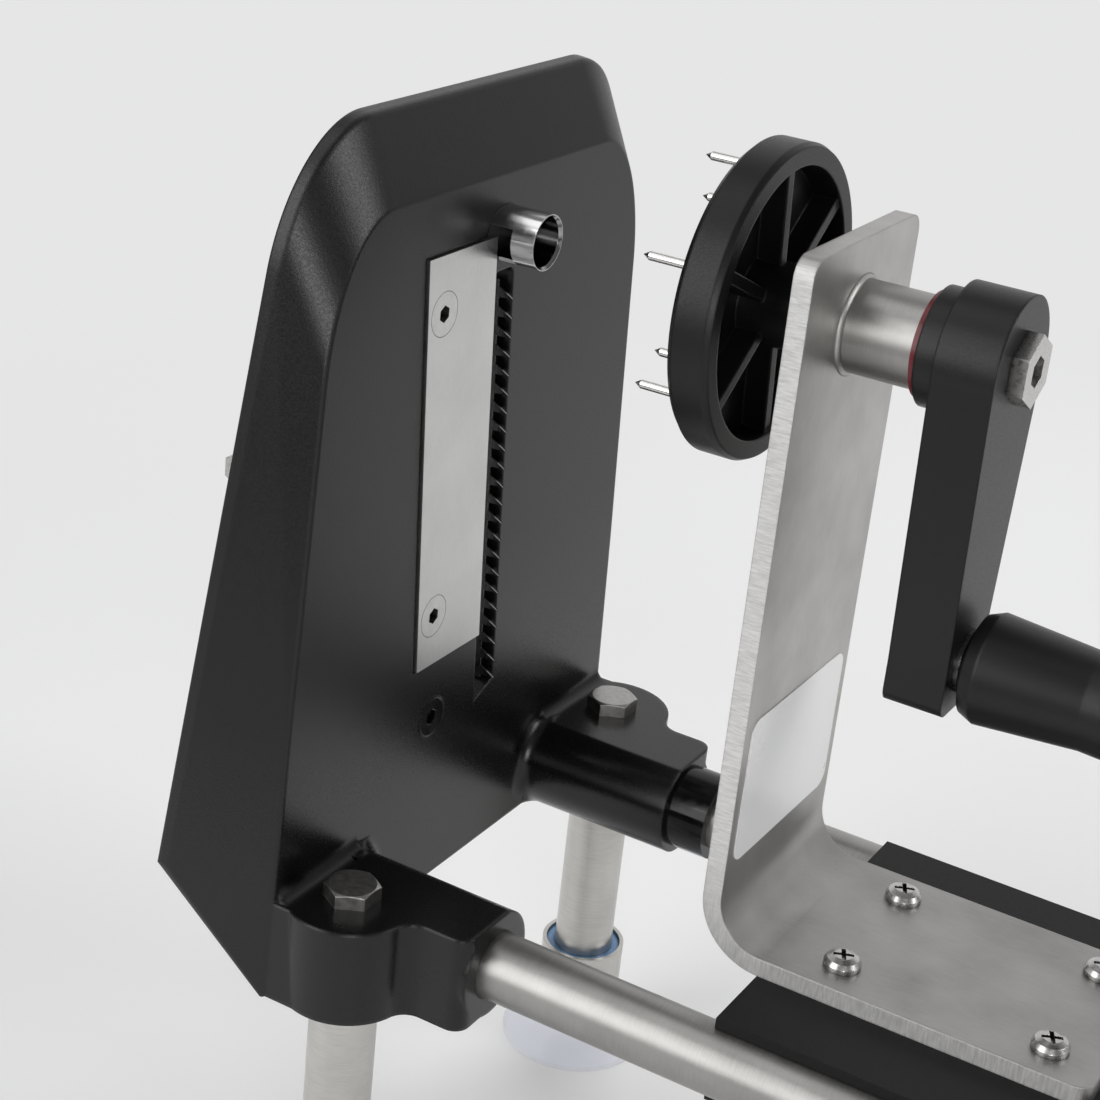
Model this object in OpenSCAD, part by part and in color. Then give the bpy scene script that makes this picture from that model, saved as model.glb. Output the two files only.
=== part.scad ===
// Hand-cranked spiralizer: upright slicing head, two rails, sliding carriage with a crank.
// Millimetres. +X runs from the head to the crank, +Z is up, the bench is at z = 0.
// The origin is under the middle of the footprint.

/* [Frame] */
// Outer diameter of the steel tubes of rails and legs
tube_d = 18; // [14:0.5:22]
// Wall of the steel tubes
tube_wall = 1.5; // [1:0.1:3]
// Distance between the two rail axes
rail_gauge = 104.4; // [90:0.2:140]
// Distance between the two leg axes of one pair
leg_gauge = 135.2; // [120:0.2:180]
// Distance from the front leg axes to the rear leg axes
leg_span = 373; // [330:1:460]
// Height of the rail axes above the bench
rail_z = 104; // [85:1:150]
// Distance from a leg axis to the end of the rail beside it
rail_inset = 8; // [7:0.5:12]

/* [Head] */
// Distance from the front leg axes back to the head's front face
face_back = 13.2; // [11:0.1:20]
// Height of the front face's lower edge below the rail axes
face_drop = 14; // [12:0.5:20]
// Height of the front face's upper edge above the spindle axis
face_over = 16.1; // [12:0.1:30]
// Half width of the front face at its lower edge
face_half_low = 84.6; // [80:0.2:100]
// Half width of the front face at mid height
face_half_mid = 80.6; // [76:0.2:96]
// Height of that width above the rail axes
face_mid_z = 64; // [40:1:90]
// Half width of the straight part of the upper edge
face_half_top = 50; // [40:1:60]
// Width of the rounding at the face's upper corners
face_corner_w = 25; // [15:1:35]
// Height of the rounding at the face's upper corners
face_corner_h = 45; // [30:1:60]
// How far the rim lies behind the face at the top
rim_back_top = 13; // [8:0.5:30]
// Lean of the rim's plane, so that the head is deeper at the bottom
rim_lean = 5.7; // [0:0.1:10]
// Height of the rim's upper edge above the spindle axis
rim_over = 36.1; // [30:0.1:50]
// Height of the rim's lower edge above the rail axes
rim_low = 15.5; // [5:0.5:40]
// Half width of the rim at its lower edge
rim_half_low = 89.5; // [84:0.5:105]
// Half width of the rim where its upper corners start
rim_half_mid = 77; // [70:0.5:95]
// Half width of the straight part of the rim's upper edge
rim_half_top = 48; // [40:1:60]
// Height of the rounding at the rim's upper corners
rim_corner_h = 39; // [25:1:55]
// Wall of the moulded head
shell_wall = 4; // [3:0.5:6]
// Thickness of the front panel
panel_t = 5; // [4:0.5:8]
// Rounding of the face's edge
face_round = 1.2; // [0.5:0.1:2]
// Width of the band round the rim
rim_band = 3; // [2:0.5:6]
// Rounding between the sloping sides and the rim's band
rim_round = 1.6; // [0.5:0.1:3]

/* [Sockets] */
// Height of the sockets' flat top above the rail axes
socket_top = 13.6; // [11:0.1:20]
// Radius of the socket round a rail
socket_r = 14.5; // [12.5:0.1:20]
// Radius of the socket round a leg
leg_boss_r = 17.4; // [14:0.1:22]
// Length of a socket from the leg axis to its end face
socket_len = 35; // [26:0.5:45]
// Radius of the hollow between the leg boss and the rail socket
socket_fillet_r = 6; // [3:0.5:9]
// Half width of the rail socket on its flat outer side
lobe_r = 15; // [13:0.1:20]
// Radius of the socket's upright corner at its end
lobe_corner = 4.5; // [2:0.5:6]
// Radius of the fillet where the sockets leave the face
bead_r = 4; // [2:0.5:6]
// Radial clearance of a tube in its socket
tube_fit = 0.05; // [0.02:0.01:0.1]

/* [Blade] */
// Lean of the blade, the slot and the comb from upright
blade_lean = 4.57; // [0:0.1:8]
// Height of the blade's lower end above the rail axes
blade_low = 57; // [40:1:70]
// How far the blade ends below the spindle axis
blade_under = 0.5; // [0.3:0.1:10]
// Width of the blade measured level
blade_w = 30.7; // [24:0.1:36]
// Thickness of the blade
blade_t = 2.2; // [1.5:0.1:3]
// How far the blade stands proud of the face
blade_proud = 0.8; // [0.3:0.1:1.2]
// Width of the ground bevel on the cutting edge
blade_grind = 3; // [1:0.5:5]
// Offset of the blade's cutting edge from the middle at the height of the spindle
blade_edge_y = -3.8; // [-6:0.1:-1]
// Gap between the blade's cutting edge and the far side of the slot
slot_gap = 9.8; // [8:0.1:12]
// Radius of the slot's upper corners
slot_corner = 2.5; // [1:0.1:4]
// Height of the slot's lower end above the rail axes
slot_low = 39.4; // [30:0.5:50]
// Distance from the blade's back edge to its screws
blade_screw_in = 7.2; // [6.5:0.1:10]
// Height of the lower blade screw above the rail axes
blade_screw_low = 71.7; // [66:0.1:90]
// Distance of the upper blade screw below the spindle axis
blade_screw_under = 15.9; // [12:0.1:40]
// Height of the black screw below the blade above the rail axes
lone_screw_z = 39.3; // [30:0.1:45]
// Offset of the black screw from the middle
lone_screw_y = -14.7; // [-20:0.1:-8]
// Shank diameter of the countersunk screws
csk_d = 6; // [4:0.5:6]
// Head diameter of the countersunk screws
csk_head_d = 11.6; // [9:0.1:12]

/* [Comb] */
// Distance between two teeth of the comb
tooth_pitch = 5.42; // [4.5:0.02:8]
// Height of the tooth at its root
tooth_h = 3; // [2:0.1:4]
// Length of a tooth
tooth_len = 4.4; // [3:0.1:6]
// How far the tips stand proud of the face
tooth_proud = 1.6; // [0.5:0.1:2.5]
// Thickness of the comb
comb_t = 0.9; // [0.6:0.1:2]
// Depth of the comb behind the teeth
comb_depth = 6; // [4:0.5:8]
// Height of the lowest tip above the rail axes
tooth_low = 40.8; // [40:0.2:60]

/* [Corer] */
// Height of the spindle axis above the rail axes
spindle_h = 172.9; // [172.8:0.1:190]
// Outer diameter of the coring tube
corer_d = 14.5; // [10:0.1:18]
// Wall of the coring tube
corer_wall = 0.8; // [0.5:0.1:1.5]
// How far the coring tube stands proud of the face
corer_proud = 13.2; // [8:0.1:16]
// How far the coring tube reaches behind the panel
corer_tail = 10; // [8:0.5:12]

/* [Feet] */
// Outer diameter of the suction cups
cup_d = 45; // [38:0.5:60]
// Height of the suction cups below the legs
cup_h = 16; // [12:0.5:25]
// Height of the tube collars above the cups
collar_h = 19; // [12:0.5:30]
// Outer diameter of the collars
collar_d = 25.6; // [23:0.2:32]
// Wall of the collars
collar_wall = 1.2; // [0.8:0.1:2]

/* [Carriage] */
// Distance from the front leg axes to the bracket's rear face in the shown position
bracket_x = 85; // [84:0.5:180]
// Width of the bracket
bracket_w = 61; // [50:0.5:66]
// Thickness of the bracket's plate
bracket_t = 5; // [3:0.5:5]
// Inner radius of the bracket's bend
bend_r = 12.5; // [8:0.5:13]
// Height of the bracket's upper edge above the spindle axis
bracket_over = 21.7; // [18:0.1:35]
// Corner radius of the bracket's plate
bracket_corner = 5; // [3:0.5:8]
// Length of the glide plates
glide_len = 90; // [80:1:110]
// Width of the glide plates
glide_w = 105.6; // [100:0.2:112]
// Thickness of the glide plates
glide_t = 3; // [2:0.5:5]
// Running clearance of the glides on the rails
glide_fit = 0.05; // [0.02:0.01:0.1]
// Distance of the carriage screws from the middle plane
glide_screw_y = 19.6; // [15:0.1:22]
// Distance of the carriage screws from the ends of the glides
glide_screw_in = 17.7; // [14:0.1:22]
// Length of the stop sleeve that shows in front of the far socket
stop_len = 12; // [6:0.5:20]
// Outer diameter of the stop sleeve
stop_d = 24.6; // [23:0.2:28]

/* [Spindle] */
// Diameter of the spindle
spindle_d = 12; // [8:0.5:13]
// Outer diameter of the bearing tube
sleeve_d = 22.7; // [20:0.1:26]
// Wall of the bearing tube
sleeve_wall = 2; // [1:0.1:2.5]
// Length of the bearing tube behind the bracket
sleeve_len = 18.5; // [14:0.5:30]
// Radial running clearance of the spindle
spindle_fit = 0.05; // [0.02:0.01:0.1]
// Thickness of the red thrust washer
washer_t = 1.5; // [1:0.1:2.5]
// Outer radius of the pusher disc
disc_r = 38.8; // [34:0.1:44]
// Thickness of the pusher disc
disc_t = 10.9; // [9:0.1:14]
// Distance from the bracket's rear face forward to the disc's front face
disc_ahead = 30.3; // [28:0.1:36]
// Width of the disc's rim
disc_rim = 5.2; // [4:0.1:6]
// Thickness of the disc's front wall
disc_web = 3.5; // [2.5:0.1:4.5]
// Thickness of the disc's ribs
disc_rib = 3; // [2:0.1:4]
// Radius of the disc's hub
disc_hub_r = 10; // [9:0.1:12]
// Length of the pins in front of the disc
pin_len = 12.7; // [8:0.1:14]
// Diameter of the pins
pin_d = 2.2; // [1.5:0.1:2.6]
// Radius of the outer circle of pins
pin_ring_outer = 32.4; // [28:0.1:33]
// Radius of the inner circle of pins
pin_ring_inner = 22.2; // [16:0.1:24]
// Angle of the disc in the shown position
disc_turn = 6; // [0:1:60]

/* [Crank] */
// Distance from the spindle axis to the grip axis
crank_throw = 74.4; // [60:0.2:95]
// Width of the crank arm at the grip
arm_w = 24; // [22:0.5:30]
// Thickness of the crank arm
arm_t = 15; // [12:0.5:20]
// Radius of the crank hub
crank_hub_r = 14.5; // [13:0.1:18]
// Length of the hub in front of the arm
crank_boss = 5.4; // [3:0.1:10]
// Diameter of the grip
grip_d = 28; // [24:0.5:34]
// Length of the grip
grip_len = 92; // [80:1:110]
// Diameter of the grip's axle
axle_d = 10; // [8:0.5:12]

/* [Bolts] */
// Thread diameter of the leg bolts
bolt_d = 8; // [6:1:8]
// Width across flats of the leg bolts
bolt_af = 13; // [10:0.5:14]
// Height of the leg bolts' heads
bolt_head_h = 4.2; // [4:0.1:6.5]
// Thread diameter of the carriage screws
pan_d = 5; // [4:0.5:5]
// Head diameter of the carriage screws
pan_head_d = 9.6; // [8:0.1:10]
// Head height of the carriage screws
pan_head_h = 3.4; // [2.5:0.1:4]

/* [Label] */
// Width of the label on the bracket
label_w = 54; // [40:0.5:56]
// Height of the label on the bracket
label_h = 39.6; // [30:0.2:50]
// Height of the label's lower edge above the rail axes
label_z = 38; // [36:0.5:60]
// Thickness of the label
label_t = 0.3; // [0.2:0.05:0.5]

/* [Hidden] */

$fn = 64;
// overrun of cuts
over = 1;
// thickness of the thin slices that the head is lofted between
slice = 0.5;
// steps of a rounded corner of the head, of its rounded edges and of the fillets in plan
corner_steps = 30;
edge_steps = 3;
fillet_steps = 9;
near = -1;
far = 1;

face_top = spindle_h + face_over;
rim_top = spindle_h + rim_over;
blade_high = spindle_h - blade_under;
blade_screw_high = spindle_h - blade_screw_under;
bracket_top = spindle_h + bracket_over;
tube_r = tube_d / 2;
rail_y = rail_gauge / 2;
leg_y = leg_gauge / 2;
face_x = -face_back;
panel_x = face_x - panel_t;
rim_x = face_x - rim_back_top;
spindle_z = rail_z + spindle_h;
leg_low = cup_h;
// the leg stops below the socket's top by this much
socket_roof = 5.5;
leg_high = rail_z + socket_top - socket_roof;
socket_low = rail_z - socket_r;
socket_floor = rail_z - socket_top;
bolt_seat = rail_z + socket_top;
bolt_play = 0.2;
// how far the fillets of a plan reach into their neighbours
fillet_bite = 0.05;
boss_bite_share = 0.98;
// how far the sockets' roots stay inside the head's edge
flush_gap = 0.3;
rear_x = leg_span;
rail_x0 = rail_inset;
rail_x1 = rear_x - rail_inset;
plug_t = 8;
plug_play = 0.05;
stop_x1 = socket_len + stop_len;
insert_t = 16;
bolt_bite = 12;
bolt_turn = 30;
head_foot_share = 1.19;
head_crown_share = 0.48;

// blade and slot: offset y at a height above the rail axes
function lean_y(h) = (spindle_h - h) * tan(blade_lean);
function edge_y(h) = blade_edge_y + lean_y(h);
slot_roof = 3.2;
// how much lower the slot's foot is on the blade's side
slot_scoop = 4;
slot_high = spindle_h - corer_d / 2 - slot_roof;
seat_gap = 0.4;
seat_gap_back = 0.8;
comb_back_gap = 1.6;
comb_x1 = face_x + tooth_proud;
comb_root = comb_x1 - tooth_len;
comb_x0 = comb_root - comb_depth;
comb_end = 1.4;
tooth_drop = 0.4;
tooth_count = floor((slot_high - tooth_low - tooth_h) / tooth_pitch) + 1;
comb_low = tooth_low - comb_end;
comb_high = tooth_low + (tooth_count - 1) * tooth_pitch + tooth_h + comb_end;
// the comb's near side lies this far inside the slot's far side
function comb_y(h) = edge_y(h) + slot_gap - comb_back_gap - comb_t;

// bosses behind the panel, countersinks and the seats of blade and comb
boss_r = 8;
boss_t = 4;
boss_x = panel_x - boss_t;
csk_play = 0.15;
csk_cone = (csk_head_d - csk_d) / 2;
blade_seat = blade_t - blade_proud;
blade_face = face_x + blade_proud;
blade_back = face_x - blade_seat;
function blade_screw_y(h) = edge_y(h) - blade_w + blade_screw_in;
edge_land = 0.3;
socket_deep = 2.4;
socket_af = 4;
nut_af = 10;
nut_t = 5;
nut_x = boss_x - nut_t;
thread_out = 1.5;
comb_fit = 0.05;
comb_wall = 4;
comb_bite = 3;
comb_wall_x = comb_x0 + over;
comb_side = slot_gap - comb_back_gap;
rib_t = 3;
rib_depth = 5;
rib_heights = [18, 96, 136];
rib_in = 24;
rib_long = 44;

// coring tube: its window for the blade, and its nut
notch_deep = 7;
notch_up = 3.2;
corer_x1 = face_x + corer_proud;
corer_x0 = boss_x - corer_tail;
corer_nut_t = 5;
corer_nut_wall = 1.75;

// side bolt and its lug
lug_y = -67;
lug_w = 5;
lug_h = 14;
lug_z = 120.5;
lug_x = -43;
side_bolt_x = -39.7;
side_bolt_d = 5;
side_bolt_af = 8;
side_bolt_head = 3.6;
side_nut_t = 4;

// feet
sleeve_drop = 1;
cup_lip = 1.4;
cup_skin = 2.6;
cup_neck_share = 0.62;
cup_shoulder_share = 0.3;
cup_hollow_share = 0.36;
cup_dome_share = 0.34;

// rear crosspiece
beam_t = 16;

// carriage, from the bracket outwards
bracket_front = bracket_x - bracket_t;
glide_x = bracket_x + bend_r;
glide_end = glide_x + glide_len;
foot_end = glide_end - glide_t - over;
rail_crown = rail_z + tube_r;
glide_z = rail_crown + glide_fit;
foot_z = glide_z + glide_t;
glide_low_z = rail_z - tube_r - glide_fit;
block_half = rail_y - tube_r - glide_fit;
sleeve_end = bracket_x + sleeve_len;
disc_x = bracket_x - disc_ahead;
disc_back = disc_x + disc_t;
bush_flange = 1.6;
bush_r = sleeve_d / 2 - sleeve_wall;
bush_flange_r = 12;
bush_play = 0.2;
hub_x = sleeve_end + washer_t + bush_play;
arm_x = hub_x + crank_boss;
arm_back = arm_x + arm_t;
spindle_x0 = disc_x + disc_web;
crank_bolt_t = 4;
grip_z = spindle_z - crank_throw;
grip_x = arm_back + washer_t;
grip_end = grip_x + grip_len;

bush_gap = 0.5;
bush_split = (bracket_front + sleeve_end) / 2;
carriage_xs = [glide_x + glide_screw_in, glide_end - glide_screw_in];
weld_r = 1.2;
weld_share = 0.55;
block_in = 5;
pan_nut_t = 4;
pan_nut_af = 8;
pan_edge_share = 0.4;
pan_round_share = 0.75;
pan_crown_share = 0.97;
pan_round_r_share = 0.84;
pan_crown_r_share = 0.5;
recess_w = 1.1;
recess_l = 5.2;
recess_deep = 1.6;
recess_turn = 25;
label_corner = 4;

// spindle unit
hub_end = bracket_front - bush_flange - bush_play;
rib_high = disc_t - over;
disc_round = 1.5;
rim_draft = 0.6;
rib_count = 6;
pin_sunk = 3;
pin_point = 1.8;
arm_flare = 2.5;
arm_corner = 4;
cap_r = 9;
axle_head_t = 3;
axle_head_r = 8;
axle_play = 0.3;
grip_waist_share = 0.86;
grip_belly_share = 0.7;
grip_round = 5;
grip_soft = 1.5;

// footprint
x_low = rim_x - (rim_top - rim_low) * sin(rim_lean);
x_high = rear_x + cup_d / 2;
x_mid = (x_low + x_high) / 2;

// round hole or shaft along X, from x0 to x1
module along_x(x0, x1, r) translate([x0, 0, 0]) rotate([0, 90, 0]) cylinder(r = r, h = x1 - x0);

// round hole or shaft along Y, from y0 to y1
module along_y(y0, y1, r) translate([0, y0, 0]) rotate([-90, 0, 0]) cylinder(r = r, h = y1 - y0);

// a plan in Y and Z, pulled along +X
module pull_x(t) rotate([90, 0, 90]) linear_extrude(t) children();

// a plan in X and Z, pulled along +Y
module pull_y(t) translate([0, t, 0]) rotate([90, 0, 0]) linear_extrude(t) children();

function corner(cy, cz, a, b) =
    [for (i = [0:corner_steps]) [cy + a * cos(90 * i / corner_steps), cz + b * sin(90 * i / corner_steps)]];
function both(p) = concat(p, [for (i = [len(p) - 1:-1:0]) [-p[i][0], p[i][1]]]);

// outline of the front face, drawn in by a wall
module face_outline(wall) polygon(both(concat(
    [[face_half_low - wall, rail_z - face_drop + wall], [face_half_mid - wall, rail_z + face_mid_z]],
    corner(face_half_top, rail_z + face_top - face_corner_h, face_corner_w - wall, face_corner_h - wall))));

// outline of the rim at the back, drawn in by a wall
module rim_outline(wall) polygon(both(concat(
    [[rim_half_low - wall, rail_z + rim_low + wall]],
    corner(rim_half_top, rail_z + rim_top - rim_corner_h, rim_half_mid - rim_half_top - wall,
        rim_corner_h - wall))));

// slab of the rim in its leaning plane, t thick
module rim_slab(wall, back, t) translate([rim_x - back, 0, rail_z + rim_top])
    rotate([0, rim_lean, 0]) translate([0, 0, -rail_z - rim_top]) pull_x(t) rim_outline(wall);

// slab of the face's edge, its front at a depth behind the face
module face_slab(wall, depth) translate([face_x - face_round - slice, 0, 0])
    pull_x(face_round + slice - depth) face_outline(wall);

// offsets of a rounded edge, from its front to its side
function edge_in(i) = 1 - sin(90 * i / edge_steps);
function edge_back(i) = 1 - cos(90 * i / edge_steps);

// outer form of the head: a loft from the face to the rim, rounded at both
module head_body() hull() for (i = [0:edge_steps]) {
    face_slab(face_round * edge_in(i), face_round * edge_back(i));
    rim_slab(rim_round * edge_back(i), 0, rim_band + rim_round * (1 - edge_in(i)));
}

// hollow of the head, open at the rim
module head_hollow() hull() {
    translate([panel_x - slice, 0, 0]) pull_x(slice) face_outline(shell_wall);
    rim_slab(shell_wall, slice * 4, slice);
}

// plan of a socket: leg boss, rail socket and the hollow between them; side is near or far
module socket_plan(side, root) {
    lobe = rail_y + lobe_r - leg_y;
    f = socket_fillet_r;
    cx = sqrt(pow(leg_boss_r + f, 2) - pow(f + lobe, 2));
    a0 = 180 + atan2(lobe + f, cx);
    mirror([0, side < 0 ? 1 : 0]) {
        translate([0, leg_y]) circle(r = leg_boss_r);
        translate([root, rail_y]) polygon(concat([[0, 0], [socket_len - root, 0]],
            [for (i = [0:edge_steps * 2]) let (a = 90 * i / edge_steps / 2)
                [socket_len - root - lobe_corner * (1 - cos(a)), lobe_r - lobe_corner * (1 - sin(a))]],
            [[0, lobe_r]]));
        translate([0, leg_y]) polygon(concat([[0, 0], [0, lobe - over], [cx + over, lobe - over],
            [cx + over / 2, lobe - fillet_bite]],
            [for (i = [fillet_steps - 1:-1:1]) let (a = a0 + (270 - a0) * i / fillet_steps)
                [cx + f * cos(a), lobe + f + f * sin(a)]],
            [[(cx + f * cos(a0)) * boss_bite_share, (lobe + f + f * sin(a0)) * boss_bite_share]]));
    }
}

// cutter that rounds the rail socket's lower outer edge, from the end back to the hollow
// solid of a socket without its bores, from root to its end
module socket_body(side, root) {
    translate([0, 0, socket_floor]) linear_extrude(socket_top * 2) socket_plan(side, root);
    intersection() {
        translate([0, side * rail_y, rail_z]) along_x(root, socket_len, socket_r);
        translate([root, side * rail_y - socket_r - over, socket_low - over])
            cube([socket_len - root, socket_r * 2 + over * 2, socket_top + socket_r + over]);
    }
}

// block that joins a socket to the head, its outer side flush with the face's edge
module socket_root(side) mirror([0, side < 0 ? 1 : 0]) translate([face_x - slice, 0, 0])
    pull_x(slice - face_x) polygon([[rail_y, socket_floor], [face_edge(-socket_top), socket_floor],
        [face_edge(socket_top), rail_z + socket_top], [rail_y, rail_z + socket_top]]);
function face_edge(h) = face_half_low - flush_gap
    - (h + face_drop) * (face_half_low - face_half_mid) / (face_drop + face_mid_z);

// concave fillet in a plan, its corner at the origin, run a little into both sides
module bead_plan() polygon(concat([[-slice, -slice], [bead_r, -slice]],
    [for (i = [0:fillet_steps]) let (a = 270 - 90 * i / fillet_steps)
        [bead_r * (1 + cos(a)), bead_r * (1 + sin(a))]], [[-slice, bead_r]]));

// fillet between the face and a socket: along its flat top and round the inner side of its barrel
module socket_bead(side) mirror([0, side < 0 ? 1 : 0]) {
    bead_y0 = rail_y - sqrt(pow(socket_r, 2) - pow(socket_top, 2));
    translate([face_x, bead_y0, rail_z + socket_top])
        pull_y(face_edge(socket_top + bead_r) - face_round - bead_y0) bead_plan();
    intersection() {
        translate([face_x, rail_y, rail_z]) rotate([0, 90, 0]) rotate_extrude()
            translate([socket_r, 0]) mirror([1, -1]) bead_plan();
        translate([face_x - over, rail_y - socket_r - bead_r - over, rail_z - face_drop + face_round])
            cube([bead_r + over * 2, socket_r + bead_r + over, face_drop - face_round + socket_top + slice]);
    }
}

module socket_bores(side) {
    translate([0, side * rail_y, rail_z])
        along_x(rail_inset - tube_fit, socket_len + over, tube_r + tube_fit);
    translate([0, side * leg_y, socket_low - over])
        cylinder(r = tube_r + tube_fit, h = leg_high - socket_low + over);
    translate([0, side * leg_y, leg_high - over])
        cylinder(r = bolt_d / 2 + bolt_play, h = socket_roof + over * 2);
}

// slanted plan in Y and Z between two heights; low and high are offsets from the cutting edge
module slanted(h0, h1, low, high) polygon([
    [edge_y(h0) + low, rail_z + h0], [edge_y(h0) + high, rail_z + h0],
    [edge_y(h1) + high, rail_z + h1], [edge_y(h1) + low, rail_z + h1]]);

// where a countersunk screw goes through the panel; the cone's mouth is at x
module csk_hole(x, y, h) translate([0, y, rail_z + h]) along_x(boss_x - over, x + over, csk_d / 2 + csk_play);

module csk_cut(x, y, h) translate([x, y, rail_z + h]) rotate([0, 90, 0]) {
    translate([0, 0, -csk_cone]) cylinder(r1 = csk_d / 2 + csk_play, r2 = csk_head_d / 2 + csk_play, h = csk_cone);
    cylinder(r = csk_head_d / 2 + csk_play, h = over + csk_play);
}

// outline of the slot: leaning sides, a round top and a scooped foot
module slot_outline() {
    top = slot_high - slot_corner;
    r = slot_corner * cos(blade_lean);
    polygon(concat([[edge_y(slot_low - slot_scoop), rail_z + slot_low - slot_scoop],
        [edge_y(slot_low) + slot_gap, rail_z + slot_low]],
        [for (i = [0:fillet_steps]) let (a = 90 * i / fillet_steps + blade_lean)
            [edge_y(top) + slot_gap - slot_corner + r * cos(a), rail_z + top + r * sin(a)]],
        [for (i = [0:fillet_steps]) let (a = 90 + 90 * i / fillet_steps + blade_lean)
            [edge_y(top) + slot_corner + r * cos(a), rail_z + top + r * sin(a)]]));
}

module head_shell() color([0.03, 0.03, 0.035]) difference() {
    union() {
        difference() {
            head_body();
            head_hollow();
        }
        for (side = [near, far]) {
            socket_body(side, face_x - slice);
            socket_root(side);
            socket_bead(side);
        }
        for (h = [blade_screw_low, blade_screw_high])
            translate([0, blade_screw_y(h), rail_z + h]) along_x(boss_x, panel_x + over, boss_r);
        translate([0, lone_screw_y, rail_z + lone_screw_z]) along_x(boss_x, panel_x + over, boss_r);
        translate([0, 0, spindle_z]) along_x(boss_x, panel_x + over, corer_d / 2 + shell_wall);
        // wall behind the comb, and the two blocks that grip its ends
        translate([comb_wall_x, 0, 0]) pull_x(panel_x + over - comb_wall_x)
            slanted(comb_low - comb_wall, comb_high + comb_wall, comb_side, comb_side + comb_wall);
        for (h = [comb_low - comb_wall - over, comb_high - comb_bite]) translate([comb_wall_x + over, 0, 0])
            pull_x(panel_x - comb_wall_x)
                slanted(h, h + comb_wall + comb_bite + over, comb_side - comb_t - comb_wall,
                    comb_side + comb_wall - over);
        // ribs on the panel's back
        for (s = [near, far], h = rib_heights)
            translate([panel_x - rib_depth, s > 0 ? rib_in : -rib_in - rib_long, rail_z + h])
                cube([rib_depth + over, rib_long, rib_t]);
        // lug of the side bolt
        translate([lug_x, lug_y, rail_z + lug_z - lug_h / 2]) cube([panel_x + over - lug_x, lug_w, lug_h]);
    }
    socket_bores(near);
    socket_bores(far);
    // slot
    translate([panel_x - over * 2, 0, 0]) pull_x(panel_t + over * 4) slot_outline();
    // groove of the comb
    translate([comb_wall_x - over, 0, 0]) pull_x(face_x - comb_wall_x + over * 2)
        slanted(comb_low * cos(blade_lean) - comb_fit, comb_high * cos(blade_lean) + comb_fit,
            comb_side - comb_t / cos(blade_lean) - comb_fit, comb_side + comb_fit);
    // seat of the blade
    translate([blade_back, 0, 0]) pull_x(blade_seat + over)
        slanted(blade_low - seat_gap, blade_high + seat_gap, -blade_w - seat_gap_back, over);
    for (h = [blade_screw_low, blade_screw_high]) {
        csk_hole(face_x, blade_screw_y(h), h);
        csk_cut(blade_face - csk_play, blade_screw_y(h), h);
    }
    csk_hole(face_x, lone_screw_y, lone_screw_z);
    csk_cut(face_x - csk_play, lone_screw_y, lone_screw_z);
    // coring tube
    translate([0, 0, spindle_z]) along_x(boss_x - over, face_x + over, corer_d / 2 + tube_fit);
    // side bolt
    translate([side_bolt_x, 0, rail_z + lug_z]) along_y(lug_y - over, lug_y + lug_w + over,
        side_bolt_d / 2 + tube_fit);
}

module blade_plate() color([0.75, 0.76, 0.77]) difference() {
    union() {
        translate([blade_back, 0, 0]) pull_x(blade_t) slanted(blade_low, blade_high, -blade_w, -blade_grind);
        intersection() {
            translate([blade_back, 0, 0]) pull_x(blade_t) slanted(blade_low, blade_high, -blade_grind - over, 0);
            blade_edge();
        }
    }
    for (h = [blade_screw_low, blade_screw_high]) {
        csk_cut(blade_face - csk_play, blade_screw_y(h), h);
        translate([0, blade_screw_y(h), rail_z + h])
            along_x(blade_back - over, blade_face + over, csk_d / 2 + csk_play);
    }
}

// wedge that grinds the blade's edge on its back, its front staying flat
module blade_edge() translate([0, edge_y(0), rail_z]) rotate([blade_lean, 0, 0])
    linear_extrude(blade_high + blade_w) polygon([[blade_back - over, -blade_w], [blade_face + over, -blade_w],
        [blade_face + over, 0], [blade_face - edge_land, 0], [blade_back, -blade_grind],
        [blade_back - over, -blade_grind]]);

// countersunk socket screw with its mouth at x
module csk_screw(x, y, h, x_end) translate([0, y, rail_z + h]) difference() {
    union() {
        along_x(x_end, x - csk_cone, csk_d / 2);
        translate([x - csk_cone, 0, 0]) rotate([0, 90, 0])
            cylinder(r1 = csk_d / 2, r2 = csk_head_d / 2, h = csk_cone);
    }
    translate([x - socket_deep, 0, 0]) rotate([0, 90, 0]) cylinder(r = socket_af / sqrt(3), h = csk_cone, $fn = 6);
}

// hexagon nut along X from x0, t thick, bored to r
module nut_x_axis(x0, t, af, r) difference() {
    translate([x0, 0, 0]) rotate([0, 90, 0]) cylinder(r = af / sqrt(3), h = t, $fn = 6);
    along_x(x0 - over, x0 + t + over, r);
}

module blade_screws() color([0.7, 0.71, 0.72]) for (h = [blade_screw_low, blade_screw_high])
    csk_screw(blade_face, blade_screw_y(h), h, nut_x - thread_out);

module blade_nuts() color([0.6, 0.6, 0.62]) {
    for (h = [blade_screw_low, blade_screw_high]) translate([0, blade_screw_y(h), rail_z + h])
        nut_x_axis(nut_x, nut_t, nut_af, csk_d / 2 + tube_fit);
    translate([0, lone_screw_y, rail_z + lone_screw_z])
        nut_x_axis(nut_x, nut_t, nut_af, csk_d / 2 + tube_fit);
}

module lone_screw() color([0.05, 0.05, 0.05]) csk_screw(face_x, lone_screw_y, lone_screw_z, nut_x - thread_out);

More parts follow.
